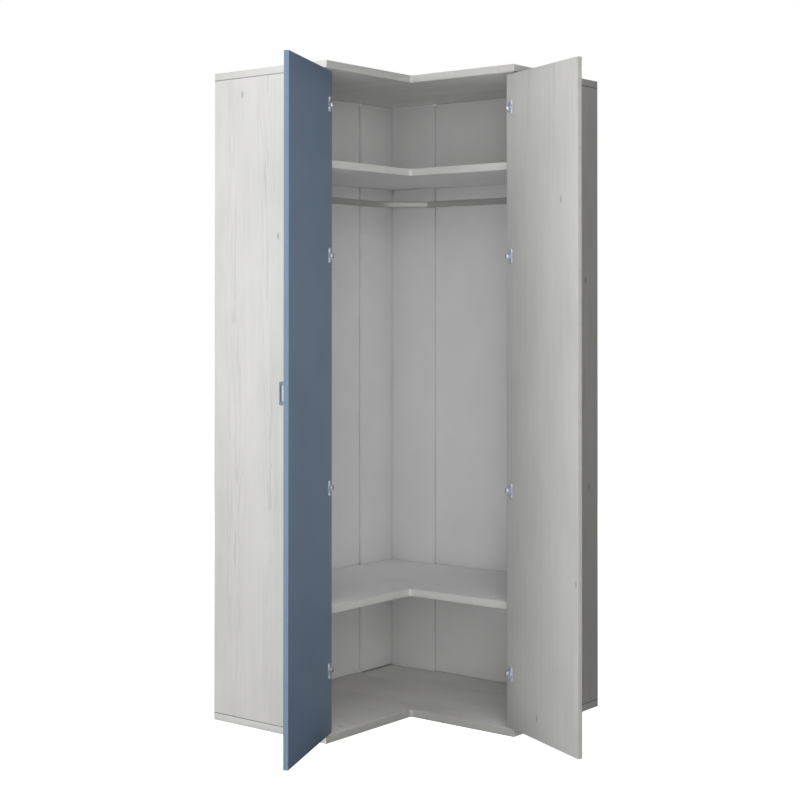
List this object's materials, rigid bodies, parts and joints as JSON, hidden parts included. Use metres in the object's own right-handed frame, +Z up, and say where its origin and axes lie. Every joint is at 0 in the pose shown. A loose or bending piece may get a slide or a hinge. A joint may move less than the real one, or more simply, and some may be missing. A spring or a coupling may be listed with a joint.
{
  "type": "corner wardrobe",
  "caption": "Tall corner wardrobe with an L-shaped body, two hinged doors meeting at the inner corner, a top shelf, a low shelf and a hanging rail.",
  "frame": {"origin": "the back corner on the floor, where the two wall lines meet", "axes": "+Z up; the left wing stands against the wall x = 0 and runs towards -Y, the right wing stands against the wall y = 0 and runs towards +X; both fronts face the +X -Y quadrant"},
  "size_m": [1.3148, 1.3148, 2.2],
  "materials": {
    "white_wood": "pale washed wood-grain laminate, grain upright, matte",
    "blue_board": "plain grey-blue laminate, matte",
    "back_board": "thin pale hardboard, matte",
    "nickel": "nickel-plated pressed steel",
    "rail_metal": "satin grey tube",
    "handle_metal": "satin grey metal",
    "socket_plastic": "grey moulded socket"
  },
  "bodies": {
    "cabinet": {"top_panel": "white_wood", "base_panel": "white_wood", "left_side_panel": "white_wood", "right_side_panel": "white_wood", "upper_shelf": "white_wood", "lower_shelf": "white_wood", "left_corner_board": "white_wood", "right_corner_board": "white_wood", "left_back_panel": "back_board", "right_back_panel": "back_board", "bent_rail": "rail_metal", "straight_rail": "rail_metal", "left_rail_socket": "socket_plastic", "right_rail_socket": "socket_plastic", "left_hinge_plate_1": "nickel", "left_hinge_arm_1": "nickel", "left_hinge_plate_2": "nickel", "left_hinge_arm_2": "nickel", "left_hinge_plate_3": "nickel", "left_hinge_arm_3": "nickel", "left_hinge_plate_4": "nickel", "left_hinge_arm_4": "nickel", "right_hinge_plate_1": "nickel", "right_hinge_arm_1": "nickel", "right_hinge_plate_2": "nickel", "right_hinge_arm_2": "nickel", "right_hinge_plate_3": "nickel", "right_hinge_arm_3": "nickel", "right_hinge_plate_4": "nickel", "right_hinge_arm_4": "nickel"},
    "left_links": {"left_hinge_link_1": "nickel", "left_hinge_link_2": "nickel", "left_hinge_link_3": "nickel", "left_hinge_link_4": "nickel"},
    "left_leaf": {"left_door": "blue_board", "left_handle": "handle_metal", "left_hinge_cup_1": "nickel", "left_hinge_cup_2": "nickel", "left_hinge_cup_3": "nickel", "left_hinge_cup_4": "nickel"},
    "right_links": {"right_hinge_link_1": "nickel", "right_hinge_link_2": "nickel", "right_hinge_link_3": "nickel", "right_hinge_link_4": "nickel"},
    "right_leaf": {"right_door": "white_wood", "right_hinge_cup_1": "nickel", "right_hinge_cup_2": "nickel", "right_hinge_cup_3": "nickel", "right_hinge_cup_4": "nickel"}
  },
  "joints": [
    {"name": "left_door_swing", "type": "hinge", "parent": "left_links", "child": "left_leaf", "pos_m": [0.51106, -0.9224, 1.1], "axis": [0, 0, 1], "range_deg": [0, 219.35]},
    {"name": "left_link_turn", "type": "hinge", "parent": "cabinet", "child": "left_links", "pos_m": [0.4932, -0.91038, 1.1], "axis": [0, 0, -1], "range_deg": [0, 64.2]},
    {"name": "right_door_swing", "type": "hinge", "parent": "right_links", "child": "right_leaf", "pos_m": [0.9224, -0.51106, 1.1], "axis": [0, 0, -1], "range_deg": [0, 219.35]},
    {"name": "right_link_turn", "type": "hinge", "parent": "cabinet", "child": "right_links", "pos_m": [0.91038, -0.4932, 1.1], "axis": [0, 0, 1], "range_deg": [0, 64.2]}
  ],
  "couplings": [
    {"joint": "left_link_turn", "follows": "left_door_swing", "ratio": 0.29245},
    {"joint": "right_link_turn", "follows": "right_door_swing", "ratio": 0.29245}
  ]
}
